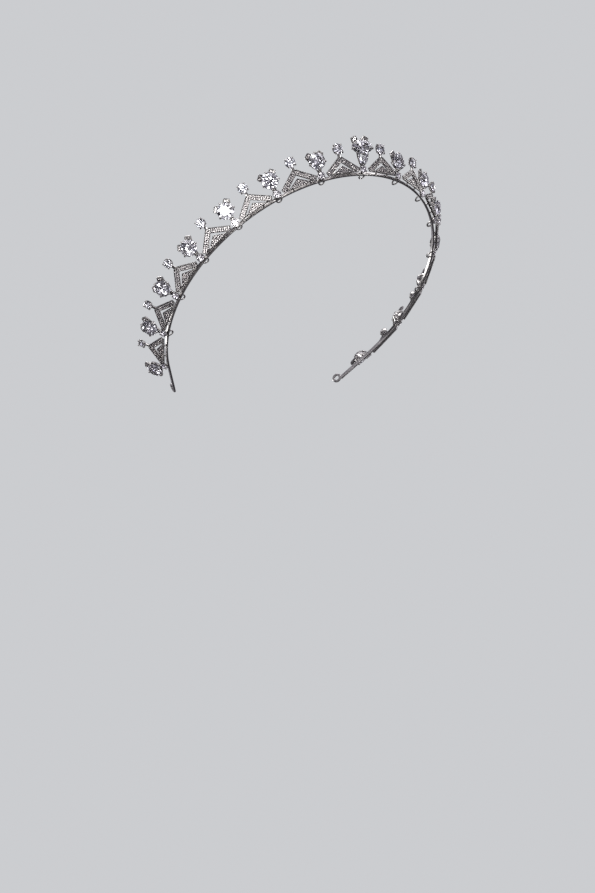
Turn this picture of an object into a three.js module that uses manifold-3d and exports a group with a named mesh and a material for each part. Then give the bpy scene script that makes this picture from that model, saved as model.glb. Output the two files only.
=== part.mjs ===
// Bridal tiara: a slim headband that carries a row of gem-set units.
//
// Millimetres, +Z up. The band rests on its flat lower edge in the plane Z = 0, its front
// looks along -Y, and the wearer's left is +X. Fifteen flower units (one wide one in the
// middle) alternate with fourteen peak units. Every unit leans outward by LEAN, and the last
// flower on each side is swung towards the tail by END_SWING.
//
// Inside a unit, x runs along the band, y runs up the lean and z points out to the viewer.

import * as THREE from 'three';
import { mergeVertices } from 'three/addons/utils/BufferGeometryUtils.js';
import Module from 'manifold-3d';

const wasm = await Module();
wasm.setup();

// ---- Driving dimensions -------------------------------------------------------------

const BAND_HALF_WIDTH = 73;
const BAND_HALF_DEPTH = 75;
const BAND_THICKNESS = 0.9;
const BAND_HEIGHT = 1.8;
const BAND_STEP = 5;
const TAIL_LENGTH = 18;
const EYELET_RADIUS = 2.4;
const EYELET_HOLE_RADIUS = 1.2;
const EYELET_OVERLAP = 0.7;

const LOOP_REACH = 2.6;
const LOOP_HALF_WIDTH = 1.9;
const LOOP_WIRE = 0.8;
const LOOP_LIFT = 0.4;
const LOOP_SINK = 0.3;

const radians = THREE.MathUtils.degToRad;
const LEAN = radians(36);
const PITCH = 22.77;
const UNITS_PER_SIDE = 7;
const END_SWING = radians(40);

const GAP = 0.3;
const PAVILION_DEPTH = 0.86;
const CROWN_HEIGHT = 0.32;
const TABLE_SHARE = 0.58;
const GIRDLE = 0.06;

const PEAK_FOOT = 9.3;
const PEAK_BLUNT = 1.6;
const PEAK_BASE = 1.5;
const PEAK_TOP = 9.6;
const PEAK_TOP_HALF = 0.9;
const SLOT_TOP = 7;
const SLOT_WIDTH = 1.6;
const SLOT_HALF_SPAN = 5.45;
const SLOT_END_TOP = 2.62;
const SLOT_END_BOTTOM = 2.15;
const SLOT_END_SLANT = 0.15;
const PLATE_BACK = 0.9;
const PLATE_THICKNESS = 0.9;
const STEM_FOOT_HALF = 0.7;
const STEM_HEAD_HALF = 0.6;
const STEM_HALF_DEPTH = 0.4;
const LUG_X = 3.5;
const LUG_HALF_WIDTH = 0.4;

const APEX = { y: 13.5, girdle: 1.8 };
const APEX_RADIUS_FRONT = 2.6;
const APEX_RADIUS_STEP = 0.12;
const SIDE = { radius: 4.1, y: 9.9, girdle: 1.9 };
const CENTRE = { radius: 3.45, y: 13.4, girdle: 3.4 };
const CENTRE_STRETCH = 1.7;
const BASE = { radius: 1.8, y: 2.9, girdle: 1.4 };

const LARGE_CLAWS = [90, -15, 195, 270].map(radians);
const APEX_CLAWS = [45, 135, 225, 315].map(radians);

const EAR_FOOT_HALF = 2;
const EAR_HALF_WIDTH = 1.5;
const EAR_CORNER = 0.3;
const EAR_THICKNESS = 0.9;
const EAR_TILT = radians(6);
const SIDE_EAR = { x: 2, y: 2.06, depth: 2.05, length: 2.9, angle: radians(44) };
const CENTRE_EAR = { x: 2.45, y: 2.2, depth: 2.05, length: 3.3, angle: radians(26) };

const BRIDGE = { foot: 4.2, footHalf: 0.8, head: 6.5, headHalf: 1.3, back: 0.2, front: 1 };
const LEAF = {
  x: 0.6, y: 4.5, z: 0.3, length: 7.8, half: 1.4, footHalf: 0.35, thickness: 0.7,
};
const LEAF_TILT = radians(14);
const LEAF_SPREAD = radians(21);
const LEAF_ROLL = radians(28);

const METAL = { color: 0xd9dadd, roughness: 0.16, metalness: 1 };
const GEM = { color: 0xf2f5fb, roughness: 0.04, metalness: 0 };

// ---- Solids -------------------------------------------------------------------------

/** A closed geometry as a solid that can be joined and cut. */
function solid(geometry) {
  const bare = geometry.index ? geometry.toNonIndexed() : geometry.clone();
  bare.deleteAttribute('normal');
  bare.deleteAttribute('uv');
  const merged = mergeVertices(bare, 1e-4);
  return new wasm.Manifold(new wasm.Mesh({
    numProp: 3,
    vertProperties: new Float32Array(merged.attributes.position.array),
    triVerts: new Uint32Array(merged.index.array),
  }));
}

/** The union of several closed geometries as one geometry. */
function join(geometries) {
  const whole = geometries.map(solid).reduce((sum, next) => sum.add(next));
  const mesh = whole.getMesh();
  const joined = new THREE.BufferGeometry();
  joined.setAttribute('position', new THREE.BufferAttribute(mesh.vertProperties, 3));
  joined.setIndex(new THREE.BufferAttribute(mesh.triVerts, 1));
  joined.computeVertexNormals();
  return joined;
}

/** An outline of [x, y] points as a plate from z = low to z = high. */
function plate(points, low, high, hole) {
  const outline = new THREE.Shape(points.map(([x, y]) => new THREE.Vector2(x, y)));
  if (hole) outline.holes.push(new THREE.Path(hole.map(([x, y]) => new THREE.Vector2(x, y))));
  const body = new THREE.ExtrudeGeometry(outline, { depth: high - low, bevelEnabled: false });
  return body.translate(0, 0, low);
}

/** A profile of [radius, z] points turned round the z axis. */
function turned(profile, segments) {
  const points = profile.map(([r, z]) => new THREE.Vector2(r, z));
  return new THREE.LatheGeometry(points, segments).rotateX(Math.PI / 2);
}

/** A faceted round stone, girdle at z = 0 and table towards +z. */
function stone(radius, segments) {
  return turned([
    [0, -PAVILION_DEPTH * radius],
    [radius, -GIRDLE],
    [radius, GIRDLE],
    [TABLE_SHARE * radius, CROWN_HEIGHT * radius],
    [0, CROWN_HEIGHT * radius],
  ], segments);
}

/** Sizes of the tapered cup under a stone; its inside keeps clear of the pavilion. */
function cup(radius) {
  const rimDepth = 0.3 * radius;
  const footDepth = PAVILION_DEPTH * radius;
  const wall = 0.3 + 0.08 * radius;
  const rim = radius - rimDepth / PAVILION_DEPTH + 1.5 * GAP;
  const foot = Math.max(2 * GAP, 0.22 * radius);
  const inside = (depth) => rim + ((foot - rim) * (depth - rimDepth)) / (footDepth - rimDepth);
  return { rimDepth, footDepth, wall, inside };
}

/** The cup itself, girdle plane of its stone at z = 0. */
function collet(radius, segments) {
  const { rimDepth, footDepth, wall, inside } = cup(radius);
  return turned([
    [inside(rimDepth), -rimDepth],
    [inside(footDepth), -footDepth],
    [inside(footDepth) + wall, -footDepth],
    [inside(rimDepth) + wall, -rimDepth],
    [inside(rimDepth), -rimDepth],
  ], segments);
}

/** One claw, rooted in the cup's wall and standing just outside the girdle, at angle. */
function claw(radius, angle, width) {
  const { rimDepth, wall, inside } = cup(radius);
  const rootDepth = rimDepth + 0.15 * radius;
  const outside = radius + GAP;
  const tip = 0.14 * radius + 0.35;
  const blade = plate([
    [inside(rimDepth) + 0.5 * wall, -rimDepth],
    [inside(rootDepth) + 0.5 * wall, -rootDepth],
    [inside(rootDepth) + wall + 0.3, -rootDepth],
    [outside + 0.5, 0],
    [outside + 0.2, tip],
    [outside, 0],
  ], -width / 2, width / 2);
  return blade.rotateX(Math.PI / 2).rotateZ(angle);
}

/** A collet with its claws, for the stone of a seat. */
function setting(seat, clawAngles, segments) {
  const claws = clawAngles.map((angle) => claw(seat.radius, angle, 0.45 + 0.06 * seat.radius));
  return join([collet(seat.radius, segments), ...claws]);
}

/** Moves a geometry that was made round its own stone to that stone's seat. */
function seated(geometry, seat, stretch = 1) {
  return geometry.scale(stretch, 1, 1).translate(0, seat.y, seat.girdle);
}

// ---- Peak unit ----------------------------------------------------------------------

/** Pierced triangle plate: an inverted V of two bars over a smaller solid triangle. */
function peakPlate() {
  const outline = [
    [-PEAK_FOOT + 0.5 * PEAK_BLUNT, PEAK_BASE],
    [PEAK_FOOT - 0.5 * PEAK_BLUNT, PEAK_BASE],
    [PEAK_FOOT, PEAK_BASE + PEAK_BLUNT],
    [PEAK_TOP_HALF, PEAK_TOP],
    [-PEAK_TOP_HALF, PEAK_TOP],
    [-PEAK_FOOT, PEAK_BASE + PEAK_BLUNT],
  ];
  const lowerSpan = SLOT_HALF_SPAN - SLOT_END_SLANT;
  const slot = [
    [0, SLOT_TOP],
    [-SLOT_HALF_SPAN, SLOT_END_TOP],
    [-lowerSpan, SLOT_END_BOTTOM],
    [0, SLOT_TOP - SLOT_WIDTH],
    [lowerSpan, SLOT_END_BOTTOM],
    [SLOT_HALF_SPAN, SLOT_END_TOP],
  ];
  return plate(outline, PLATE_BACK, PLATE_BACK + PLATE_THICKNESS, slot);
}

/** A solder lug from the plate's lower back edge to just clear of the band's outer face. */
function lug(x) {
  const sideView = [[0.88, 0.44], [1.52, -0.03], [2.3, 1], [1.6, 1.35]];
  const block = plate(sideView, x - LUG_HALF_WIDTH, x + LUG_HALF_WIDTH);
  return block.rotateX(Math.PI / 2).rotateZ(Math.PI / 2);
}

/** The plate, its lugs, a stem above it and a four-claw seat for the apex stone. */
function peakFrame(apex) {
  const { rimDepth, wall, inside } = cup(apex.radius);
  const stemTop = apex.y - inside(rimDepth) - wall + GAP;
  const stem = plate([
    [-STEM_FOOT_HALF, PEAK_TOP - 1],
    [STEM_FOOT_HALF, PEAK_TOP - 1],
    [STEM_HEAD_HALF, stemTop],
    [-STEM_HEAD_HALF, stemTop],
  ], PLATE_BACK - STEM_HALF_DEPTH, PLATE_BACK + STEM_HALF_DEPTH);
  const seat = seated(setting(apex, APEX_CLAWS, 8), apex);
  return join([peakPlate(), lug(LUG_X), lug(-LUG_X), stem, seat]);
}

// ---- Flower unit --------------------------------------------------------------------

/** A petal with a squared end beside the large stone, on its left (1) or right (-1). */
function ear(place, way) {
  const petal = plate([
    [-EAR_FOOT_HALF, 0],
    [EAR_FOOT_HALF, 0],
    [EAR_HALF_WIDTH, place.length - EAR_CORNER],
    [EAR_HALF_WIDTH - EAR_CORNER, place.length],
    [EAR_CORNER - EAR_HALF_WIDTH, place.length],
    [-EAR_HALF_WIDTH, place.length - EAR_CORNER],
  ], 0, EAR_THICKNESS);
  return petal.rotateX(EAR_TILT)
    .rotateZ(way * place.angle)
    .translate(-way * place.x, place.y, -place.depth);
}

/** The cup of the large stone with its four claws and two ears, at its seat. */
function flowerHead(seat, earPlace, segments, stretch) {
  return [
    seated(setting(seat, LARGE_CLAWS, segments), seat, stretch),
    seated(ear(earPlace, 1), seat),
    seated(ear(earPlace, -1), seat),
  ];
}

/** Side unit: the foot cup, a short bridge and the head. */
function sideFlower() {
  const bridge = plate([
    [-BRIDGE.footHalf, BRIDGE.foot],
    [BRIDGE.footHalf, BRIDGE.foot],
    [BRIDGE.headHalf, BRIDGE.head],
    [-BRIDGE.headHalf, BRIDGE.head],
  ], BRIDGE.back, BRIDGE.front);
  return join([
    seated(collet(BASE.radius, 8), BASE),
    bridge,
    ...flowerHead(SIDE, SIDE_EAR, 10, 1),
  ]);
}

/** A slender leaf that leans out from the foot cup and turns its face to the middle. */
function leaf(way) {
  return plate([
    [-LEAF.footHalf, 0],
    [LEAF.footHalf, 0],
    [LEAF.half, LEAF.length / 2],
    [0, LEAF.length],
    [-LEAF.half, LEAF.length / 2],
  ], 0, LEAF.thickness)
    .rotateY(-way * LEAF_ROLL)
    .rotateX(LEAF_TILT)
    .rotateZ(-way * LEAF_SPREAD)
    .translate(way * LEAF.x, LEAF.y, LEAF.z);
}

/** Centre unit: the foot cup, two leaves in a V and the wide head standing proud. */
function centreFlower() {
  return join([
    seated(collet(BASE.radius, 8), BASE),
    leaf(1),
    leaf(-1),
    ...flowerHead(CENTRE, CENTRE_EAR, 10, CENTRE_STRETCH),
  ]);
}

// ---- Headband -----------------------------------------------------------------------

/** Half-ellipse of the band with straight tails, measured by arc length from the front. */
class BandLine {
  constructor() {
    this.ellipse = [];
    const steps = 3000;
    const lastAngle = 2.5;
    let length = 0;
    for (let i = 0; i <= steps; i++) {
      const angle = (i / steps) * lastAngle;
      const x = BAND_HALF_WIDTH * Math.sin(angle);
      const y = -BAND_HALF_DEPTH * Math.cos(angle);
      const last = this.ellipse[i - 1];
      if (last) length += Math.hypot(x - last.x, y - last.y);
      this.ellipse.push({ x, y, length, angle });
    }
    this.curvedLength = PITCH * UNITS_PER_SIDE;
  }

  /** Position and heading at a signed arc length; the heading turns x to run along the band. */
  at(signedLength) {
    const way = Math.sign(signedLength) || 1;
    const wanted = Math.abs(signedLength);
    const curved = Math.min(wanted, this.curvedLength);
    const { x, y, angle } = this.ellipse.find((point) => point.length >= curved);
    const heading = Math.atan2(BAND_HALF_DEPTH * Math.sin(angle), BAND_HALF_WIDTH * Math.cos(angle));
    const past = wanted - curved;
    return {
      x: way * (x + past * Math.cos(heading)),
      y: y + past * Math.sin(heading),
      heading: way * heading,
    };
  }
}

const line = new BandLine();
const halfLength = line.curvedLength + TAIL_LENGTH;

/** A point at some distance outward of the band line. */
function offsetPoint(length, outward) {
  const { x, y, heading } = line.at(length);
  return [x + outward * Math.sin(heading), y - outward * Math.cos(heading)];
}

/** The strip of the band, standing on its edge. */
function strip() {
  const steps = Math.round((2 * halfLength) / BAND_STEP);
  const stations = Array.from({ length: steps + 1 }, (_, i) => halfLength * ((2 * i) / steps - 1));
  const outer = stations.map((length) => offsetPoint(length, BAND_THICKNESS));
  const inner = stations.map((length) => offsetPoint(length, 0)).reverse();
  return plate([...outer, ...inner], 0, BAND_HEIGHT);
}

/** Moves a geometry made at the origin, x along the band and -y outward, to a place on it. */
function onBand(geometry, length) {
  const { x, y, heading } = line.at(length);
  return geometry.rotateZ(heading).translate(x, y, 0);
}

/** A flat ring at the end of a tail, its hole running through the band's thickness. */
function eyelet(way) {
  const ring = new THREE.Shape().absarc(0, 0, EYELET_RADIUS, 0, 2 * Math.PI);
  ring.holes.push(new THREE.Path().absarc(0, 0, EYELET_HOLE_RADIUS, 0, 2 * Math.PI));
  const disc = new THREE.ExtrudeGeometry(ring, {
    depth: BAND_THICKNESS, bevelEnabled: false, curveSegments: 9,
  });
  disc.rotateX(Math.PI / 2).translate(0, 0, EYELET_RADIUS);
  return onBand(disc, way * (halfLength + EYELET_RADIUS - EYELET_OVERLAP));
}

/** A small wire loop on the inner side, lying flat, for a hairpin. */
function pinLoop(length) {
  const loop = new THREE.Shape();
  loop.absellipse(0, -LOOP_SINK, LOOP_HALF_WIDTH, LOOP_REACH, 0, Math.PI, false, 0);
  const gap = new THREE.Path();
  const gapReach = LOOP_REACH - LOOP_WIRE - 2 * LOOP_SINK;
  gap.absellipse(0, LOOP_SINK, LOOP_HALF_WIDTH - LOOP_WIRE, gapReach, 0, Math.PI, false, 0);
  loop.holes.push(gap);
  const wire = new THREE.ExtrudeGeometry(loop, {
    depth: LOOP_WIRE, bevelEnabled: false, curveSegments: 4,
  });
  return onBand(wire.translate(0, 0, LOOP_LIFT), length);
}

/** The whole headband: strip, end eyelets and hairpin loops. */
function headband() {
  const loops = [];
  for (let k = 1 - UNITS_PER_SIDE; k < UNITS_PER_SIDE; k++) loops.push(pinLoop(k * PITCH));
  return join([strip(), eyelet(1), eyelet(-1), ...loops]);
}

// ---- Assembly -----------------------------------------------------------------------

const tiara = new THREE.Group();
const work = new THREE.Group();
tiara.add(work);

/** A named piece with a material of its own. */
function piece(name, geometry, look) {
  const mesh = new THREE.Mesh(geometry, new THREE.MeshStandardMaterial(look));
  mesh.name = name;
  return mesh;
}

/** A leaning place for one unit, k pitches from the front. */
function unit(k) {
  const { x, y, heading } = line.at(k * PITCH);
  const place = new THREE.Group();
  place.position.set(x, y, 0);
  place.rotation.z = heading;
  const leaning = new THREE.Group();
  leaning.rotation.x = Math.PI / 2 + LEAN;
  place.add(leaning);
  work.add(place);
  return leaning;
}

/** left_3, centre and so on, from the wearer's side and the unit's number. */
function sideName(k) {
  if (k === 0) return 'centre';
  return `${k < 0 ? 'right' : 'left'}_${Math.ceil(Math.abs(k))}`;
}

work.add(piece('headband', headband(), METAL));

const sideMetal = sideFlower();
const sideStone = seated(stone(SIDE.radius, 10), SIDE);
const centreMetal = centreFlower();
const centreStone = seated(stone(CENTRE.radius, 12), CENTRE, CENTRE_STRETCH);

/** A place for the end flowers, turned about their foot stone towards the tail. */
function swung(place, angle) {
  const pivot = new THREE.Group();
  pivot.position.set(0, BASE.y, 0);
  pivot.rotation.z = angle;
  const inner = new THREE.Group();
  inner.position.set(0, -BASE.y, 0);
  pivot.add(inner);
  place.add(pivot);
  return inner;
}

for (let k = -UNITS_PER_SIDE; k <= UNITS_PER_SIDE; k++) {
  const isEnd = Math.abs(k) === UNITS_PER_SIDE;
  const flower = isEnd ? swung(unit(k), -Math.sign(k) * END_SWING) : unit(k);
  flower.add(piece(`flower_frame_${sideName(k)}`, k ? sideMetal : centreMetal, METAL));
  flower.add(piece(`flower_stone_${sideName(k)}`, k ? sideStone : centreStone, GEM));
}

// The apex stones grow a little smaller from the front to the ends.
for (let k = 0.5 - UNITS_PER_SIDE; k < UNITS_PER_SIDE; k++) {
  const radius = APEX_RADIUS_FRONT - APEX_RADIUS_STEP * (Math.abs(k) - 0.5);
  const apex = { ...APEX, radius };
  const peak = unit(k);
  peak.add(piece(`peak_frame_${sideName(k)}`, peakFrame(apex), METAL));
  peak.add(piece(`peak_stone_${sideName(k)}`, seated(stone(radius, 8), apex), GEM));
}

// The origin sits under the middle of the whole piece.
work.updateMatrixWorld(true);
const bounds = new THREE.Box3().setFromObject(work, true);
const middle = bounds.getCenter(new THREE.Vector3());
work.position.set(-middle.x, -middle.y, -bounds.min.z);

export default tiara;
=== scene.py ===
import math
import random

import bmesh
import bpy
from mathutils import Matrix, Vector
from mathutils.geometry import tessellate_polygon


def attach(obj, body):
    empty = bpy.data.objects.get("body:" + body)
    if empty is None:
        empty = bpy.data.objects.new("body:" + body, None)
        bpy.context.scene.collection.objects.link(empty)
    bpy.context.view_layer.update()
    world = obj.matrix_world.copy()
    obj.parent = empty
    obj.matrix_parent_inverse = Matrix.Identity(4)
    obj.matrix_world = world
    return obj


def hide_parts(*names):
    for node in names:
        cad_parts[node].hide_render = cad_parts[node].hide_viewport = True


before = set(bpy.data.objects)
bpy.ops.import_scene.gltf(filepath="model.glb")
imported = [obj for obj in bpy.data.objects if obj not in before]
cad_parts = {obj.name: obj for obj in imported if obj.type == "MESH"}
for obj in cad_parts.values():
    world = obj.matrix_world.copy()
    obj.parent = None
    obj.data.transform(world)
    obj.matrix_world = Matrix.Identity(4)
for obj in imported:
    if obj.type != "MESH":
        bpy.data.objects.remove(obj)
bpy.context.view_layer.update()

# ---- Driving dimensions, in millimetres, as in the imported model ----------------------
MM = 0.001
ROW_SHIFT = 14.265
BAND_HALF_WIDTH = 73.0
BAND_HALF_DEPTH = 75.0
BAND_THICKNESS = 0.9
BAND_HEIGHT = 1.8
PITCH = 22.77
UNITS_PER_SIDE = 7
TAIL_LENGTH = 18.0
EYELET_RADIUS = 2.4
EYELET_HOLE = 1.2
EYELET_OVERLAP = 0.7
LEAN = math.radians(36)
END_SWING = 40.0

PAVILION = 0.86
CROWN = 0.32
TABLE = 0.57
GIRDLE = 0.02

APEX_Y = 13.5
APEX_GIRDLE = 1.8
APEX_RADIUS = 2.6
APEX_STEP = 0.12
SIDE_RADIUS = 4.1
SIDE_Y = 9.9
SIDE_GIRDLE = 1.9
CENTRE_RADIUS = 3.45
CENTRE_Y = 13.4
CENTRE_GIRDLE = 3.4
CENTRE_STRETCH = 1.7
FOOT_RADIUS = 1.8
FOOT_Y = 2.9
FOOT_GIRDLE = 1.4

random.seed(7)


# ---- Mesh helpers ---------------------------------------------------------------------
BEAD_LATITUDES = (-80, -45, 0, 45, 80)
WIRE_END_ANGLES = (35, 65, 85)
SOFT_SHARE = 0.3
HOLE_SIDES = 8
LENS_STEPS = 14
LENS_POINT = 1.25
EDGE_BEAD_RADIUS = 0.17
EDGE_BEAD_PITCH = 0.38


class Shape:
    """Vertices in millimetres and their faces, gathered part by part."""

    def __init__(self):
        self.verts = []
        self.faces = []

    def add(self, verts, faces, at=Matrix()):
        base = len(self.verts)
        self.verts += [at @ Vector(v) for v in verts]
        self.faces += [[base + i for i in face] for face in faces]
        return self

    def merge(self, other, at=Matrix()):
        return self.add(other.verts, other.faces, at)


def move(x, y, z):
    return Matrix.Translation((x, y, z))


def turn(degrees, axis="Z"):
    return Matrix.Rotation(math.radians(degrees), 4, axis)


def loft(rings, wrap=False):
    """Quads between rings of equal length, with the ends capped or joined up."""
    shape = Shape()
    count = len(rings[0])
    faces = []
    last = len(rings) if wrap else len(rings) - 1
    for a in range(last):
        b = (a + 1) % len(rings)
        for i in range(count):
            j = (i + 1) % count
            faces.append([a * count + i, a * count + j, b * count + j, b * count + i])
    if not wrap:
        faces.append(list(range(count))[::-1])
        faces.append([(len(rings) - 1) * count + i for i in range(count)])
    return shape.add([v for ring in rings for v in ring], faces)


def lathe(profile, segments):
    """A closed profile of (radius, z) points turned round z."""
    rings = []
    for s in range(segments):
        a = 2 * math.pi * s / segments
        rings.append([(r * math.cos(a), r * math.sin(a), z) for r, z in profile])
    return loft(rings, wrap=True)


def ball(radius, segments=6):
    """A small rounded bead."""
    rings = []
    for latitude in BEAD_LATITUDES:
        r = radius * math.cos(math.radians(latitude))
        z = radius * math.sin(math.radians(latitude))
        rings.append([(r * math.cos(2 * math.pi * s / segments),
                       r * math.sin(2 * math.pi * s / segments), z)
                      for s in range(segments)])
    return loft(rings)


def wire(points, radii, sides=10):
    """A round wire with rounded ends; radii is one radius, or one for each point."""
    pts = [Vector(p) for p in points]
    if not isinstance(radii, (list, tuple)):
        radii = [radii] * len(pts)
    stations = list(zip(pts, radii))
    head = (pts[0] - pts[1]).normalized()
    tail = (pts[-1] - pts[-2]).normalized()
    for a in WIRE_END_ANGLES:
        c, s = math.cos(math.radians(a)), math.sin(math.radians(a))
        stations.insert(0, (pts[0] + head * radii[0] * s, radii[0] * c))
        stations.append((pts[-1] + tail * radii[-1] * s, radii[-1] * c))
    places = [p for p, _ in stations]
    rings = []
    side = None
    for i, (p, r) in enumerate(stations):
        before = places[max(i - 1, 0)]
        after = places[min(i + 1, len(places) - 1)]
        along = (after - before).normalized()
        if side is None:
            side = along.orthogonal().normalized()
        side = (side - along * side.dot(along)).normalized()
        other = along.cross(side)
        rings.append([p + (side * math.cos(2 * math.pi * s / sides)
                           + other * math.sin(2 * math.pi * s / sides)) * r
                      for s in range(sides)])
    return loft(rings)


def inset(outline, by):
    """The outline with every side moved to its left by a distance."""
    moved = []
    count = len(outline)
    for i in range(count):
        p0, p1, p2 = (Vector(outline[(i + d) % count]) for d in (-1, 0, 1))
        d1, d2 = (p1 - p0).normalized(), (p2 - p1).normalized()
        n1, n2 = Vector((-d1.y, d1.x)), Vector((-d2.y, d2.x))
        moved.append(tuple(p1 + (n1 + n2) * (by / (1 + n1.dot(n2)))))
    return moved


def slab(outline, low, high, soft, holes=()):
    """A plate with softened edges. The outline runs anticlockwise and the holes clockwise."""
    loops = [outline, *holes]
    ease = SOFT_SHARE * soft
    steps = [(low, soft), (low + ease, ease), (low + soft, 0),
             (high - soft, 0), (high - ease, ease), (high, soft)]
    shape = Shape()
    verts, faces, starts = [], [], []
    for line in loops:
        starts.append(len(verts))
        count = len(line)
        for z, by in steps:
            verts += [(x, y, z) for x, y in inset(line, by)]
        for a in range(len(steps) - 1):
            for i in range(count):
                j = (i + 1) % count
                base = starts[-1] + a * count
                faces.append([base + i, base + j, base + count + j, base + count + i])
    for level, flip in ((0, True), (len(steps) - 1, False)):
        index, rings = [], []
        for line, start in zip(loops, starts):
            ids = [start + level * len(line) + i for i in range(len(line))]
            index += ids
            rings.append([Vector(verts[i]) for i in ids])
        tris = tessellate_polygon(rings) if holes else [tuple(range(len(outline)))]
        for tri in tris:
            face = [index[i] for i in tri]
            faces.append(face[::-1] if flip else face)
    return shape.add(verts, faces)


def rim(outline, width, low, high, soft=0.1):
    """A raised wall along the inside of an anticlockwise outline."""
    inner = inset(outline, width)[::-1]
    return slab(outline, low, high, soft, [inner])


def round_hole(x, y, radius):
    """A clockwise outline of a small round opening."""
    return [(x + radius * math.cos(2 * math.pi * i / HOLE_SIDES),
             y - radius * math.sin(2 * math.pi * i / HOLE_SIDES)) for i in range(HOLE_SIDES)]


def lens(length, half):
    """An anticlockwise pointed oval along y, starting at the origin."""
    outline = []
    for i in range(LENS_STEPS):
        a = 2 * math.pi * i / LENS_STEPS
        x = half * math.copysign(abs(math.sin(a)) ** LENS_POINT, math.sin(a))
        outline.append((x, length / 2 * (1 - math.cos(a))))
    return outline


def along(outline, pitch):
    """Points at a nearly even pitch round a closed outline."""
    pts = [Vector(p) for p in outline]
    spots = []
    for a, b in zip(pts, pts[1:] + pts[:1]):
        count = max(1, round((b - a).length / pitch))
        spots += [a.lerp(b, i / count) for i in range(count)]
    return spots


def milgrain(shape, outline, z, radius=EDGE_BEAD_RADIUS, pitch=EDGE_BEAD_PITCH):
    """A row of tiny beads along a closed outline."""
    grain = ball(radius)
    for p in along(outline, pitch):
        shape.merge(grain, move(p.x, p.y, z))


# ---- Cut stones -----------------------------------------------------------------------
CROWN_SLOPE = CROWN / (1 - TABLE)
LOWER_BREAK = 0.24
PAVE_TABLE = 0.6
PAVE_CROWN = 0.34
PAVE_GIRDLE = 0.03
PAVE_PAVILION = 0.82
LEAF_GIRDLE = 0.03
HOLDING_BEAD = 0.2
HOLDING_SPREAD = 0.82
HOLDING_LIFT = 0.12
# A leaf stone's rings from its back to its table: shares of half-width, length and width.
LEAF_RINGS = ((0.08, 0.3, -0.38), (0.62, 0.72, -0.2), (0.78, 0.84, 0.12), (0.5, 0.62, 0.18))


def cut_point(radius, reach, degrees, height):
    """A corner of a round stone; reach and height are shares of its radius."""
    a = math.radians(degrees)
    return (reach * radius * math.cos(a), reach * radius * math.sin(a), height * radius)


def brilliant(radius):
    """A round brilliant: girdle at z = 0, table towards +z."""
    def spot(reach, step, height):
        return cut_point(radius, reach, 22.5 * step, height)

    upper = 0.5 * (1 + TABLE * math.cos(math.pi / 8))
    upper_height = CROWN - (upper * math.cos(math.pi / 8) - TABLE) * CROWN_SLOPE
    lower_height = -PAVILION + LOWER_BREAK * math.cos(math.pi / 8) * (PAVILION - GIRDLE)
    verts = [spot(TABLE, 2 * i, CROWN) for i in range(8)]
    verts += [spot(upper, 2 * i + 1, upper_height) for i in range(8)]
    verts += [spot(1, j, GIRDLE) for j in range(16)]
    verts += [spot(1, j, -GIRDLE) for j in range(16)]
    verts += [spot(LOWER_BREAK, 2 * i + 1, lower_height) for i in range(8)]
    verts.append((0, 0, -PAVILION * radius))
    star, up, down, low, culet = 8, 16, 32, 48, 56
    faces = [list(range(8))]
    for i in range(8):
        n = (i + 1) % 8
        p = (i - 1) % 8
        here, half, nxt = 2 * i, 2 * i + 1, (2 * i + 2) % 16
        faces += [[i, star + i, n],
                  [i, star + p, up + here, star + i],
                  [star + i, up + here, up + half],
                  [star + i, up + half, up + nxt],
                  [culet, low + i, down + here, low + p],
                  [low + i, down + half, down + here],
                  [low + i, down + nxt, down + half]]
    for j in range(16):
        m = (j + 1) % 16
        faces.append([up + j, down + j, down + m, up + m])
    return Shape().add(verts, faces)


def single_cut(radius):
    """A tiny eight-sided stone for the pave."""
    verts = [cut_point(radius, PAVE_TABLE, 45 * (i + 0.5), PAVE_CROWN) for i in range(8)]
    verts += [cut_point(radius, 1, 45 * i, PAVE_GIRDLE) for i in range(8)]
    verts += [cut_point(radius, 1, 45 * i, -PAVE_GIRDLE) for i in range(8)]
    verts.append((0, 0, -PAVE_PAVILION * radius))
    faces = [list(range(8))]
    for i in range(8):
        n = (i + 1) % 8
        faces += [[i, 8 + i, 8 + n], [i, 8 + n, n], [8 + i, 16 + i, 16 + n, 8 + n],
                  [16 + i, 24, 16 + n]]
    return Shape().add(verts, faces)


def marquise(length, width):
    """A pointed oval stone along y, starting at the origin."""
    half = length / 2
    outline = lens(length, width / 2)

    def ring(across, along_y, z):
        return [(x * across, half + (y - half) * along_y, z) for x, y in outline]

    shaped = [ring(across, along_y, share * width) for across, along_y, share in LEAF_RINGS]
    girdle = [ring(1, 1, -LEAF_GIRDLE), ring(1, 1, LEAF_GIRDLE)]
    return loft(shaped[:2] + girdle + shaped[2:])


def pave_row(stones, metal, spots, radius, z, at=Matrix()):
    """Stones at the spots with a pair of holding beads between neighbours."""
    gem = single_cut(radius)
    grain = ball(HOLDING_BEAD)
    for p in spots:
        spin = turn(random.uniform(0, 45))
        stones.merge(gem, at @ move(p[0], p[1], z) @ spin)
    for a, b in zip(spots, spots[1:]):
        a, b = Vector(a), Vector(b)
        mid = (a + b) / 2
        cross = Vector((-(b - a).y, (b - a).x)).normalized() * radius * HOLDING_SPREAD
        for p in (mid + cross, mid - cross):
            metal.merge(grain, at @ move(p.x, p.y, z + HOLDING_LIFT))


# ---- Settings -------------------------------------------------------------------------
FOUR_CLAWS = (45, 135, 225, 315)
FLOWER_CLAWS = (90, -15, 195, 270)
APEX_STYLE = {"thick": 0.36, "reach": 0.26, "over": 0.28, "segments": 28}
FOOT_STYLE = {"thick": 0.24, "reach": 0.06, "over": 0.2, "segments": 24}
FLOWER_STYLE = {"thick": 0.42, "reach": 0.3, "over": 0.4, "segments": 40}
RAIL_SHARE = 0.55
CLAW_TAPER = (0.85, 0.9, 0.95, 1, 1, 0.92)
TIP_LIFT = 0.72


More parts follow.
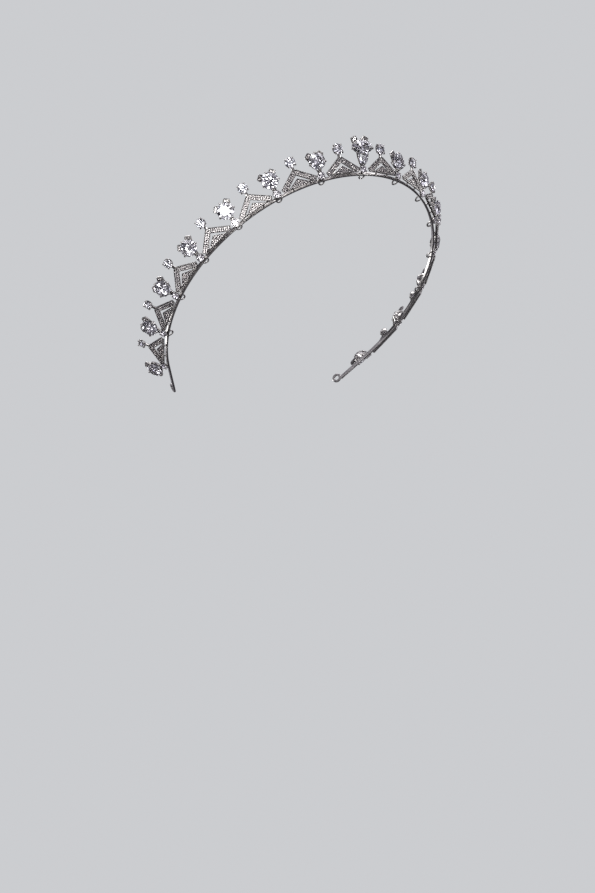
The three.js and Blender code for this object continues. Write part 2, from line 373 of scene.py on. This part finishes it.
def cup_sizes(radius):
    """Rim depth, foot depth, wall and inner radii of the tapered cup under a stone."""
    rim_depth = 0.3 * radius
    foot_depth = PAVILION * radius
    wall = 0.3 + 0.08 * radius
    inner_rim = radius - rim_depth / PAVILION + 0.45
    inner_foot = max(0.6, 0.22 * radius)
    return rim_depth, foot_depth, wall, inner_rim, inner_foot


def collet(radius, segments):
    """The cup: a tapered wall with a softened rim, a gallery rail and a foot ring."""
    rim_depth, foot_depth, wall, ri, fi = cup_sizes(radius)
    s = 0.22 * wall
    mid = -(rim_depth + RAIL_SHARE * (foot_depth - rim_depth))
    ro_mid = ri + wall + (fi - ri) * RAIL_SHARE
    profile = [
        (ri, -rim_depth - s), (ri + s, -rim_depth), (ri + wall - s, -rim_depth),
        (ri + wall, -rim_depth - s), (ri + wall - 0.05, -rim_depth - 0.25 * wall - s),
        (ro_mid + 0.02, mid + 0.1), (ro_mid + 0.14, mid), (ro_mid - 0.04, mid - 0.12),
        (fi + wall, -foot_depth + s), (fi + wall - s, -foot_depth), (fi + s, -foot_depth),
        (fi, -foot_depth + s),
    ]
    return lathe(profile, segments)


def claw(radius, thick, reach, over):
    """One wire claw in the xz plane: up the cup's side and over the stone's edge."""
    rim_depth, foot_depth, wall, ri, fi = cup_sizes(radius)
    root = foot_depth - 0.2 * (foot_depth - rim_depth)
    root_r = ri + (fi - ri) * 0.8 + 0.7 * wall
    lean_r = radius + reach
    tip_r = radius - over
    tip_z = CROWN_SLOPE * over + TIP_LIFT * thick
    points = [
        (root_r, 0, -root),
        (0.5 * (root_r + lean_r) + 0.05 * radius, 0, -0.5 * (root + rim_depth)),
        (lean_r - 0.1, 0, -0.45 * rim_depth),
        (lean_r, 0, 0.02),
        (lean_r - 0.35 * (lean_r - tip_r), 0, 0.72 * tip_z),
        (tip_r, 0, tip_z),
    ]
    return wire(points, [thick * share for share in CLAW_TAPER])


def setting(shape, radius, angles, at, thick, reach, over, segments, stretch=1.0):
    """A cup and its claws, placed at a stone's seat; the claws keep round when stretched."""
    scale = Matrix.Diagonal((stretch, 1, 1, 1))
    shape.merge(collet(radius, segments), at @ scale)
    one = claw(radius, thick, reach, over)
    for angle in angles:
        a = math.radians(angle)
        slide = (stretch - 1) * radius * math.cos(a)
        shape.merge(one, at @ move(slide, 0, 0) @ turn(angle))


# ---- Peak unit ------------------------------------------------------------------------
PEAK_OUTLINE = [(-8.5, 1.5), (8.5, 1.5), (9.3, 3.1), (0.9, 9.6), (-0.9, 9.6), (-9.3, 3.1)]
SLOT = [(0, 7.0), (5.45, 2.62), (5.3, 2.15), (0, 5.4), (-5.3, 2.15), (-5.45, 2.62)]
PLATE_LOW = 0.9
PLATE_FLOOR = 1.2
PLATE_TOP = 1.72
STONE_SEAT = 1.72
WALL = 0.24

BAR_FOOT_X, BAR_FOOT_Y = 7.9, 2.45
BAR_HEAD_X, BAR_HEAD_Y = 0.62, 7.9
BAR_STEP_X, BAR_STEP_Y = 0.62, 0.78
BAR_LIFT = 0.1
BAR_STONES = 10
PAVE_RADIUS = 0.49
LOWER_ROWS = ((2.3, 9, 1.06), (3.24, 6, 1.04), (4.15, 3, 1.0))
TOP_SPOT, TOP_RADIUS = (0, 9.0), 0.4
PEAK_LUG_X, PEAK_LUG_RADIUS = 3.5, 0.4
STEM_FOOT_Y = 9.1
STEM_FOOT_HALF, STEM_TOP_HALF = 0.72, 0.5
STEM_LOW, STEM_HIGH = 0.5, 1.35


def peak_spots():
    """Places and radii of the pave stones of a peak: double bars, three rows and the top."""
    groups = []
    for way in (-1, 1):
        for out in (-0.5, 0.5):
            rise = BAR_STEP_Y * out
            foot = Vector((way * (BAR_FOOT_X + BAR_STEP_X * out), BAR_FOOT_Y + rise + BAR_LIFT))
            head = Vector((way * (BAR_HEAD_X + BAR_STEP_X * out), BAR_HEAD_Y + rise + BAR_LIFT))
            bar = [tuple(foot.lerp(head, i / (BAR_STONES - 1))) for i in range(BAR_STONES)]
            groups.append((bar, PAVE_RADIUS))
    for y, count, pitch in LOWER_ROWS:
        row = [(pitch * (i - 0.5 * (count - 1)), y) for i in range(count)]
        groups.append((row, PAVE_RADIUS))
    groups.append(([TOP_SPOT], TOP_RADIUS))
    return groups


def peak_parts(apex_radius):
    """Metal, pave and apex stone of one peak unit, in its own axes."""
    metal, pave = Shape(), Shape()
    groups = peak_spots()
    openings = [round_hole(x, y, 0.5 * radius) for spots, radius in groups for x, y in spots]
    metal.merge(slab(PEAK_OUTLINE, PLATE_LOW, PLATE_FLOOR, 0.08, [SLOT, *openings]))
    metal.merge(rim(PEAK_OUTLINE, WALL, PLATE_LOW + 0.02, PLATE_TOP))
    round_slot = inset(SLOT, WALL)[::-1]
    metal.merge(slab(round_slot, PLATE_LOW + 0.03, PLATE_TOP, 0.1, [SLOT]))
    milgrain(metal, inset(PEAK_OUTLINE, 0.5 * WALL), PLATE_TOP)
    for spots, radius in groups:
        pave_row(pave, metal, spots, radius, STONE_SEAT)
    for way in (-1, 1):
        x = way * PEAK_LUG_X
        metal.merge(wire([(x, 2.0, 1.0), (x, 1.15, 0.1)], PEAK_LUG_RADIUS))

    seat = move(0, APEX_Y, APEX_GIRDLE)
    setting(metal, apex_radius, FOUR_CLAWS, seat, **APEX_STYLE)
    foot_y = APEX_Y - cup_sizes(apex_radius)[3]
    stem = [(-STEM_FOOT_HALF, STEM_FOOT_Y), (STEM_FOOT_HALF, STEM_FOOT_Y),
            (STEM_TOP_HALF, foot_y), (-STEM_TOP_HALF, foot_y)]
    metal.merge(slab(stem, STEM_LOW, STEM_HIGH, 0.15))
    gem = Shape().merge(brilliant(apex_radius), seat)
    return metal, pave, gem


# ---- Flower unit ----------------------------------------------------------------------
EAR_FOOT = 2.0
EAR_HALF = 1.5
EAR_CORNER = 0.3
EAR_TILT = 6
# Root x and y, length, and angle in degrees.
SIDE_EAR = (2.0, 2.06, 2.9, 44)
CENTRE_EAR = (2.45, 2.2, 3.3, 26)
EAR_DEPTH = 2.05
EAR_PLATE = 0.35
EAR_WALL = 0.28
EAR_TOP = 0.84
EAR_INNER_PAVE, EAR_INNER_Y, EAR_INNER_STEP = 0.53, 0.82, 1.06
EAR_OUTER_PAVE, EAR_OUTER_GAP, EAR_OUTER_STEP = 0.62, 0.98, 0.64
LEAF_LENGTH = 7.8
LEAF_HALF = 1.45
LEAF_BEZEL = 0.34
LEAF_STONE_LENGTH, LEAF_STONE_WIDTH = 6.8, 2.55
LEAF_ROOT = (0.6, 4.5, 0.3)
LEAF_SPREAD, LEAF_TILT, LEAF_ROLL = 21, 14, 28
BRIDGE = [(-0.8, 4.2), (0.8, 4.2), (1.35, 6.5), (-1.35, 6.5)]
BRIDGE_ROWS = [[(0, 4.95)], [(-0.52, 5.85), (0.52, 5.85)]]
BRIDGE_LOW, BRIDGE_FLOOR, BRIDGE_TOP = 0.2, 0.6, 1.0
BRIDGE_BEAD_RADIUS, BRIDGE_BEAD_PITCH = 0.16, 0.36
BRIDGE_PAVE, BRIDGE_SEAT = 0.5, 1.05
FOOT_LUG_RADIUS = 0.5


def ear_into(metal, pave, at, length):
    """A petal with a squared end, edged with grains and set with five small stones."""
    outline = [(-EAR_FOOT, 0), (EAR_FOOT, 0), (EAR_HALF, length - EAR_CORNER),
               (EAR_HALF - EAR_CORNER, length), (EAR_CORNER - EAR_HALF, length),
               (-EAR_HALF, length - EAR_CORNER)]
    inner = [(way * EAR_INNER_STEP, EAR_INNER_Y) for way in (-1, 0, 1)]
    outer = [(way * EAR_OUTER_STEP, length - EAR_OUTER_GAP) for way in (-1, 1)]
    rows = [(inner, EAR_INNER_PAVE), (outer, EAR_OUTER_PAVE)]
    openings = [round_hole(x, y, 0.5 * radius) for spots, radius in rows for x, y in spots]
    part = Shape()
    part.merge(slab(outline, 0, EAR_PLATE, 0.08, openings))
    part.merge(rim(outline, EAR_WALL, 0.02, EAR_TOP))
    milgrain(part, inset(outline, 0.5 * EAR_WALL), EAR_TOP - 0.02)
    metal.merge(part, at)
    for spots, radius in rows:
        pave_row(pave, metal, spots, radius, EAR_TOP, at)


def leaf_into(metal, gems, at):
    """A pointed oval stone in an open bezel with a bead on each point."""
    outline = lens(LEAF_LENGTH, LEAF_HALF)
    metal.merge(rim(outline, LEAF_BEZEL, 0, 0.72, 0.08), at)
    for y in (0.42, LEAF_LENGTH - 0.42):
        metal.merge(ball(LEAF_BEZEL, 8), at @ move(0, y, 0.85))
    gems.merge(marquise(LEAF_STONE_LENGTH, LEAF_STONE_WIDTH), at @ move(0, 0.5, 0.74))


def foot_into(metal, gems, spin):
    """The foot stone of a flower in its four-claw cup, and the lug that joins the band."""
    turned = move(0, FOOT_Y, 0) @ turn(spin)
    seat = turned @ move(0, 0, FOOT_GIRDLE)
    setting(metal, FOOT_RADIUS, FOUR_CLAWS, seat, **FOOT_STYLE)
    gems.merge(brilliant(FOOT_RADIUS), seat)
    lug = wire([(0, 1.56, -0.58), (0, 1.75, 0.05)], FOOT_LUG_RADIUS, 12)
    metal.merge(lug, turned @ move(0, -FOOT_Y, 0))


def flower_parts(centre, foot_spin):
    """Metal, pave, foot stone and large stone of one flower unit, in its own axes."""
    metal, pave, foot = Shape(), Shape(), Shape()
    foot_into(metal, foot, foot_spin)
    radius = CENTRE_RADIUS if centre else SIDE_RADIUS
    stretch = CENTRE_STRETCH if centre else 1.0
    seat = move(0, CENTRE_Y if centre else SIDE_Y, CENTRE_GIRDLE if centre else SIDE_GIRDLE)
    setting(metal, radius, FLOWER_CLAWS, seat, **FLOWER_STYLE, stretch=stretch)
    x, y, length, angle = CENTRE_EAR if centre else SIDE_EAR
    for way in (1, -1):
        root = move(-way * x, y, -EAR_DEPTH) @ turn(way * angle) @ turn(EAR_TILT, "X")
        ear_into(metal, pave, seat @ root, length)
    if centre:
        for way in (1, -1):
            x, y, z = LEAF_ROOT
            at = move(way * x, y, z) @ turn(-way * LEAF_SPREAD) @ turn(LEAF_TILT, "X")
            leaf_into(metal, foot, at @ turn(-way * LEAF_ROLL, "Y"))
    else:
        metal.merge(slab(BRIDGE, BRIDGE_LOW, BRIDGE_FLOOR, 0.08))
        metal.merge(rim(BRIDGE, EAR_WALL, BRIDGE_LOW + 0.02, BRIDGE_TOP))
        milgrain(metal, inset(BRIDGE, 0.5 * EAR_WALL), BRIDGE_TOP, BRIDGE_BEAD_RADIUS,
                 BRIDGE_BEAD_PITCH)
        for spots in BRIDGE_ROWS:
            pave_row(pave, metal, spots, BRIDGE_PAVE, BRIDGE_SEAT)
    gem = Shape().merge(brilliant(radius), seat @ Matrix.Diagonal((stretch, 1, 1, 1)))
    return metal, pave, foot, gem


# ---- Band line ------------------------------------------------------------------------
CURVED = PITCH * UNITS_PER_SIDE
HALF_LENGTH = CURVED + TAIL_LENGTH
LINE_STEPS = 3000
LINE_REACH = 2.5
STRIP_STEPS = 240
SOFT_EDGE = 0.2
LOOP_HALF, LOOP_REACH, LOOP_Z = 1.5, 2.1, 0.8
LOOP_ROOT_Y, LOOP_SPRING_Y = -0.3, 0.1
LOOP_WIRE = 0.38


def ellipse_table():
    """(length, x, y, angle) along the band's inner line, from the front."""
    rows, length, last = [], 0.0, None
    for i in range(LINE_STEPS + 1):
        a = i / LINE_STEPS * LINE_REACH
        p = Vector((BAND_HALF_WIDTH * math.sin(a), -BAND_HALF_DEPTH * math.cos(a)))
        if last is not None:
            length += (p - last).length
        last = p
        rows.append((length, p.x, p.y, a))
    return rows


LINE = ellipse_table()


def band_at(signed):
    """Position and heading of the band's inner line at an arc length from the front."""
    way = -1 if signed < 0 else 1
    wanted = abs(signed)
    curved = min(wanted, CURVED)
    i = next(i for i, row in enumerate(LINE) if row[0] >= curved)
    _, x, y, a = LINE[i]
    heading = math.atan2(BAND_HALF_DEPTH * math.sin(a), BAND_HALF_WIDTH * math.cos(a))
    past = wanted - curved
    return (way * (x + past * math.cos(heading)), y + past * math.sin(heading) + ROW_SHIFT,
            way * heading)


def band_frame(length):
    """x along the band, -y outward and z up, at a place on the band."""
    x, y, heading = band_at(length)
    return move(x, y, 0) @ Matrix.Rotation(heading, 4, "Z")


def unit_frame(k):
    """The leaning axes of a unit, k pitches from the front."""
    return band_frame(k * PITCH) @ Matrix.Rotation(math.pi / 2 + LEAN, 4, "X")


def flower_frame(k):
    """The axes of a flower; the last one on each side is swung towards its tail."""
    at = unit_frame(k)
    if abs(k) == UNITS_PER_SIDE:
        swing = turn(-math.copysign(END_SWING, k))
        at = at @ move(0, FOOT_Y, 0) @ swing @ move(0, -FOOT_Y, 0)
    return at


def band_shape():
    """Strip with rounded edges, end eyelets, and hairpin loops at all but the last flowers."""
    shape = Shape()
    t, h, s = BAND_THICKNESS, BAND_HEIGHT, SOFT_EDGE
    section = []
    for cx, cz, start in ((-t + s, s, 180), (-s, s, 270), (-s, h - s, 0), (-t + s, h - s, 90)):
        for a in (0, 30, 60, 90):
            r = math.radians(start + a)
            section.append((cx + s * math.cos(r), cz + s * math.sin(r)))
    rings = []
    for i in range(STRIP_STEPS + 1):
        length = HALF_LENGTH * (2 * i / STRIP_STEPS - 1)
        at = band_frame(length)
        rings.append([at @ Vector((0, y, z)) for y, z in section])
    shape.merge(loft(rings))
    for way in (1, -1):
        a, b = EYELET_HOLE, EYELET_RADIUS
        ring = lathe([(a, -t + s), (a + s, -t), (b - s, -t), (b, -t + s),
                      (b, -s), (b - s, 0), (a + s, 0), (a, -s)], 40)
        at = band_frame(way * (HALF_LENGTH + EYELET_RADIUS - EYELET_OVERLAP))
        shape.merge(ring, at @ move(0, 0, EYELET_RADIUS) @ turn(-90, "X"))
    for k in range(1 - UNITS_PER_SIDE, UNITS_PER_SIDE):
        arc = [(LOOP_HALF * math.cos(math.radians(a)),
                LOOP_SPRING_Y + LOOP_REACH * math.sin(math.radians(a)), LOOP_Z)
               for a in range(0, 181, 15)]
        arc = [(LOOP_HALF, LOOP_ROOT_Y, LOOP_Z), *arc, (-LOOP_HALF, LOOP_ROOT_Y, LOOP_Z)]
        shape.merge(wire(arc, LOOP_WIRE, 12), band_frame(k * PITCH))
    return shape


# ---- Materials ------------------------------------------------------------------------
def material(name):
    made = bpy.data.materials.new(name)
    made.use_nodes = True
    nodes, links = made.node_tree.nodes, made.node_tree.links
    shader = nodes["Principled BSDF"]
    return made, nodes, links, shader


def ramp(nodes, stops):
    node = nodes.new("ShaderNodeValToRGB")
    bar = node.color_ramp
    while len(bar.elements) < len(stops):
        bar.elements.new(0.5)
    for element, (spot, colour) in zip(bar.elements, stops):
        element.position = spot
        element.color = (*colour, 1)
    return node


def noise(nodes, links, coord, scale, detail, rough=0.5):
    node = nodes.new("ShaderNodeTexNoise")
    node.inputs["Scale"].default_value = scale
    node.inputs["Detail"].default_value = detail
    node.inputs["Roughness"].default_value = rough
    links.new(coord, node.inputs["Vector"])
    return node


def silver():
    """White metal with faint clouding and a fine worn polish."""
    made, nodes, links, shader = material("rhodium_silver")
    shader.inputs["Metallic"].default_value = 1.0
    shader.inputs["Specular IOR Level"].default_value = 0.5
    coord = nodes.new("ShaderNodeTexCoord").outputs["Object"]
    cloud = noise(nodes, links, coord, 260, 3)
    tone = ramp(nodes, [(0.3, (0.42, 0.405, 0.395)), (0.55, (0.55, 0.535, 0.52)),
                        (0.75, (0.67, 0.65, 0.635))])
    links.new(cloud.outputs["Fac"], tone.inputs["Fac"])
    links.new(tone.outputs["Color"], shader.inputs["Base Color"])
    fine = noise(nodes, links, coord, 2600, 4, 0.6)
    polish = ramp(nodes, [(0.35, (0.13,) * 3), (0.7, (0.3,) * 3)])
    links.new(fine.outputs["Fac"], polish.inputs["Fac"])
    links.new(polish.outputs["Color"], shader.inputs["Roughness"])
    bump = nodes.new("ShaderNodeBump")
    bump.inputs["Strength"].default_value = 0.25
    bump.inputs["Distance"].default_value = 0.00004
    links.new(fine.outputs["Fac"], bump.inputs["Height"])
    links.new(bump.outputs["Normal"], shader.inputs["Normal"])
    return made


def crystal(name, tints, ior):
    """A clear cut stone whose faint tint drifts from place to place."""
    made, nodes, links, shader = material(name)
    shader.inputs["Roughness"].default_value = 0.0
    shader.inputs["IOR"].default_value = ior
    shader.inputs["Transmission Weight"].default_value = 1.0
    coord = nodes.new("ShaderNodeTexCoord").outputs["Object"]
    cloud = noise(nodes, links, coord, 420, 1)
    tint = ramp(nodes, list(zip((0.35, 0.5, 0.62, 0.72), tints)))
    links.new(cloud.outputs["Fac"], tint.inputs["Fac"])
    links.new(tint.outputs["Color"], shader.inputs["Base Color"])
    return made


# ---- Pieces ---------------------------------------------------------------------------
SMOOTH_LIMIT = math.radians(38)


def mesh_of(name, shape, look, smooth):
    """A Blender mesh in metres, flat for stones and smooth between soft edges for metal."""
    mesh = bpy.data.meshes.new(name)
    mesh.from_pydata([Vector(v) * MM for v in shape.verts], [], shape.faces)
    work = bmesh.new()
    work.from_mesh(mesh)
    bmesh.ops.recalc_face_normals(work, faces=work.faces)
    for face in work.faces:
        face.smooth = smooth
    if smooth:
        for edge in work.edges:
            edge.smooth = len(edge.link_faces) == 2 and edge.calc_face_angle(0) < SMOOTH_LIMIT
    work.to_mesh(mesh)
    work.free()
    mesh.materials.append(look)
    return mesh


def place(name, mesh, at, slot, *stands_for):
    """Put a piece in the scene under the root body and hide the CAD nodes it stands for."""
    piece = bpy.data.objects.new(name, mesh)
    bpy.context.scene.collection.objects.link(piece)
    where = at.copy()
    where.translation *= MM
    piece.matrix_world = where
    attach(piece, "root")
    if stands_for:
        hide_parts(*stands_for)


def side_name(k):
    """left_3, centre and so on, from the wearer's side and the unit's number."""
    if k == 0:
        return "centre"
    return f"{'right' if k < 0 else 'left'}_{math.ceil(abs(k))}"


METAL = silver()
STONE = crystal("clear_crystal", [(0.88, 0.92, 1.0), (0.99, 0.99, 1.0), (0.96, 0.93, 1.0),
                                  (1.0, 0.97, 0.96)], 2.15)
GRAIN = crystal("pave_crystal", [(0.58, 0.555, 0.54), (0.68, 0.65, 0.64), (0.63, 0.59, 0.59),
                                 (0.76, 0.72, 0.70)], 2.0)
METAL_SLOT, STONE_SLOT = "silver_metal", "clear_stone"

place("headband_strip", mesh_of("headband_strip", band_shape(), METAL, True), Matrix(),
      METAL_SLOT, "headband")

flower_meshes = {}
for tag, foot_spin in (("side", 0), ("centre", 0), ("left_end", END_SWING),
                       ("right_end", -END_SWING)):
    metal, pave, foot, gem = flower_parts(tag == "centre", foot_spin)
    flower_meshes[tag] = (mesh_of(f"flower_metal_{tag}", metal, METAL, True),
                          mesh_of(f"flower_pave_{tag}", pave, GRAIN, False),
                          mesh_of(f"flower_foot_{tag}", foot, STONE, False),
                          mesh_of(f"flower_gem_{tag}", gem, STONE, False))
ODD_FLOWERS = {0: "centre", UNITS_PER_SIDE: "left_end", -UNITS_PER_SIDE: "right_end"}
for k in range(-UNITS_PER_SIDE, UNITS_PER_SIDE + 1):
    tag, at = side_name(k), flower_frame(k)
    metal, pave, foot, gem = flower_meshes[ODD_FLOWERS.get(k, "side")]
    place(f"flower_setting_{tag}", metal, at, METAL_SLOT, f"flower_frame_{tag}")
    place(f"flower_gem_{tag}", gem, at, STONE_SLOT, f"flower_stone_{tag}")
    place(f"flower_pave_{tag}", pave, at, STONE_SLOT)
    place(f"flower_foot_gem_{tag}", foot, at, STONE_SLOT)

for number in range(1, UNITS_PER_SIDE + 1):
    metal, pave, gem = peak_parts(APEX_RADIUS - APEX_STEP * (number - 1))
    parts = (mesh_of(f"peak_metal_{number}", metal, METAL, True),
             mesh_of(f"peak_pave_{number}", pave, GRAIN, False),
             mesh_of(f"peak_gem_{number}", gem, STONE, False))
    for k in (number - 0.5, 0.5 - number):
        tag, at = side_name(k), unit_frame(k)
        place(f"peak_setting_{tag}", parts[0], at, METAL_SLOT, f"peak_frame_{tag}")
        place(f"peak_gem_{tag}", parts[2], at, STONE_SLOT, f"peak_stone_{tag}")
        place(f"peak_pave_{tag}", parts[1], at, STONE_SLOT)


# ---- Stage, light and camera ----------------------------------------------------------
PALE = (0.60, 0.61, 0.63)
DOME = (0.62, 0.62, 0.635)
GLOSSY_LEVEL = 0.42
LOW_LEVEL, HIGH_LEVEL = 1.0, 3.5
DIM_SIDE, LIT_SIDE = 0.22, 1.35
THROUGH_LEVEL = 0.9
UPWARD = (0, 0, 1)
SIDEWAYS = (0.707, -0.707, 0)
PANELS = [(0.40, (0.03, 0.03, 0.033)), (0.49, (0.155, 0.148, 0.172)),
          (0.57, (0.54, 0.52, 0.60)), (0.66, (1.7, 1.66, 1.68))]
FLOOR_HALF = 3.0

LENS = 107.583
SENSOR_WIDTH = 36
EYE = (-0.793359, -0.670757, -0.770476)
EYE_RIGHT = (0.793181, -0.376546, -0.478620)
EYE_UP = (0.062874, -0.731095, 0.679372)
EYE_BACK = (-0.605731, -0.568958, -0.556216)


def floor():
    """A wide pale floor that can be looked through from underneath."""
    mesh = bpy.data.meshes.new("floor")
    h = FLOOR_HALF
    mesh.from_pydata([(-h, -h, 0), (h, -h, 0), (h, h, 0), (-h, h, 0)], [], [(0, 1, 2, 3)])
    made, nodes, links, shader = material("floor_pale")
    shader.inputs["Roughness"].default_value = 1.0
    shader.inputs["Specular IOR Level"].default_value = 0.0
    coord = nodes.new("ShaderNodeTexCoord").outputs["Object"]
    tone = ramp(nodes, [(0.3, (0.78, 0.785, 0.79)), (0.7, (0.80, 0.80, 0.805))])
    links.new(noise(nodes, links, coord, 14, 3).outputs["Fac"], tone.inputs["Fac"])
    links.new(tone.outputs["Color"], shader.inputs["Base Color"])
    clear = nodes.new("ShaderNodeBsdfTransparent")
    mix = nodes.new("ShaderNodeMixShader")
    links.new(nodes.new("ShaderNodeNewGeometry").outputs["Backfacing"], mix.inputs["Fac"])
    links.new(shader.outputs["BSDF"], mix.inputs[1])
    links.new(clear.outputs["BSDF"], mix.inputs[2])
    links.new(mix.outputs["Shader"], nodes["Material Output"].inputs["Surface"])
    mesh.materials.append(made)
    plane = bpy.data.objects.new("floor", mesh)
    bpy.context.scene.collection.objects.link(plane)
    plane.visible_shadow = False
    plane.visible_glossy = False
    plane.visible_transmission = False


def sky():
    """Pale behind the object; panels of light and shade for reflections and fill."""
    world = bpy.data.worlds.new("studio")
    bpy.context.scene.world = world
    world.use_nodes = True
    nodes, links = world.node_tree.nodes, world.node_tree.links
    back = nodes["Background"]
    back.inputs["Strength"].default_value = 1.0
    coord = nodes.new("ShaderNodeTexCoord").outputs["Generated"]
    cells = noise(nodes, links, coord, 2.6, 1.5)
    panels = ramp(nodes, PANELS)
    links.new(cells.outputs["Fac"], panels.inputs["Fac"])
    path = nodes.new("ShaderNodeLightPath")
    colour = panels.outputs["Color"]
    lift = nodes.new("ShaderNodeMapRange")
    lift.inputs["To Min"].default_value = GLOSSY_LEVEL
    lift.inputs["To Max"].default_value = THROUGH_LEVEL
    links.new(path.outputs["Is Transmission Ray"], lift.inputs["Value"])
    levels = [lift.outputs["Result"]]
    for towards, start, stop, low, high in ((UPWARD, -0.05, 0.4, LOW_LEVEL, HIGH_LEVEL),
                                            (SIDEWAYS, -0.9, 0.9, DIM_SIDE, LIT_SIDE)):
        lean = nodes.new("ShaderNodeVectorMath")
        lean.operation = "DOT_PRODUCT"
        links.new(coord, lean.inputs[0])
        lean.inputs[1].default_value = towards
        level = nodes.new("ShaderNodeMapRange")
        level.inputs["From Min"].default_value = start
        level.inputs["From Max"].default_value = stop
        level.inputs["To Min"].default_value = low
        level.inputs["To Max"].default_value = high
        links.new(lean.outputs["Value"], level.inputs["Value"])
        levels.append(level.outputs["Result"])
    for level in levels:
        scaled = nodes.new("ShaderNodeVectorMath")
        scaled.operation = "SCALE"
        links.new(colour, scaled.inputs[0])
        links.new(level, scaled.inputs["Scale"])
        colour = scaled.outputs["Vector"]
    for ray, tone in (("Is Diffuse Ray", DOME), ("Is Camera Ray", PALE)):
        mix = nodes.new("ShaderNodeMix")
        mix.data_type = "RGBA"
        links.new(path.outputs[ray], mix.inputs["Factor"])
        links.new(colour, mix.inputs["A"])
        mix.inputs["B"].default_value = (*tone, 1)
        colour = mix.outputs["Result"]
    links.new(colour, back.inputs["Color"])
    world.cycles.sampling_method = "NONE"


def softbox(name, where, size, watts):
    """A round white panel that faces the middle of the frame."""
    data = bpy.data.lights.new(name, "AREA")
    data.shape = "DISK"
    data.size = size
    data.energy = watts
    lamp = bpy.data.objects.new(name, data)
    lamp.location = where
    lamp.rotation_mode = "QUATERNION"
    lamp.rotation_quaternion = Vector(where).to_track_quat("Z", "Y")
    lamp.visible_camera = False
    bpy.context.scene.collection.objects.link(lamp)


def camera():
    """Seen from the wearer's right, in front and below."""
    data = bpy.data.cameras.new("camera")
    data.lens = LENS
    data.sensor_width = SENSOR_WIDTH
    data.clip_start = 0.05
    data.clip_end = 20
    spin = Matrix((EYE_RIGHT, EYE_UP, EYE_BACK)).transposed().to_4x4()
    eye = bpy.data.objects.new("camera", data)
    eye.matrix_world = move(*EYE) @ spin
    bpy.context.scene.collection.objects.link(eye)
    bpy.context.scene.camera = eye


floor()
sky()
softbox("key_low", (-0.61, -0.385, -0.555), 0.25, 1.3)
softbox("fill_right_low", (0.62, -0.70, -0.30), 0.14, 1.2)
softbox("front_high", (-0.52, -0.64, 0.56), 0.55, 2.2)
softbox("rim_back", (-0.25, 0.75, 0.62), 0.25, 1.2)
softbox("top", (0.10, -0.20, 1.10), 0.50, 3.0)
softbox("left_side", (-1.0, 0.10, 0.10), 0.20, 0.4)
camera()

scene = bpy.context.scene
scene.view_settings.view_transform = "Standard"
scene.cycles.max_bounces = 16
scene.cycles.transmission_bounces = 14
scene.cycles.glossy_bounces = 6
scene.cycles.diffuse_bounces = 3
scene.cycles.use_denoising = False
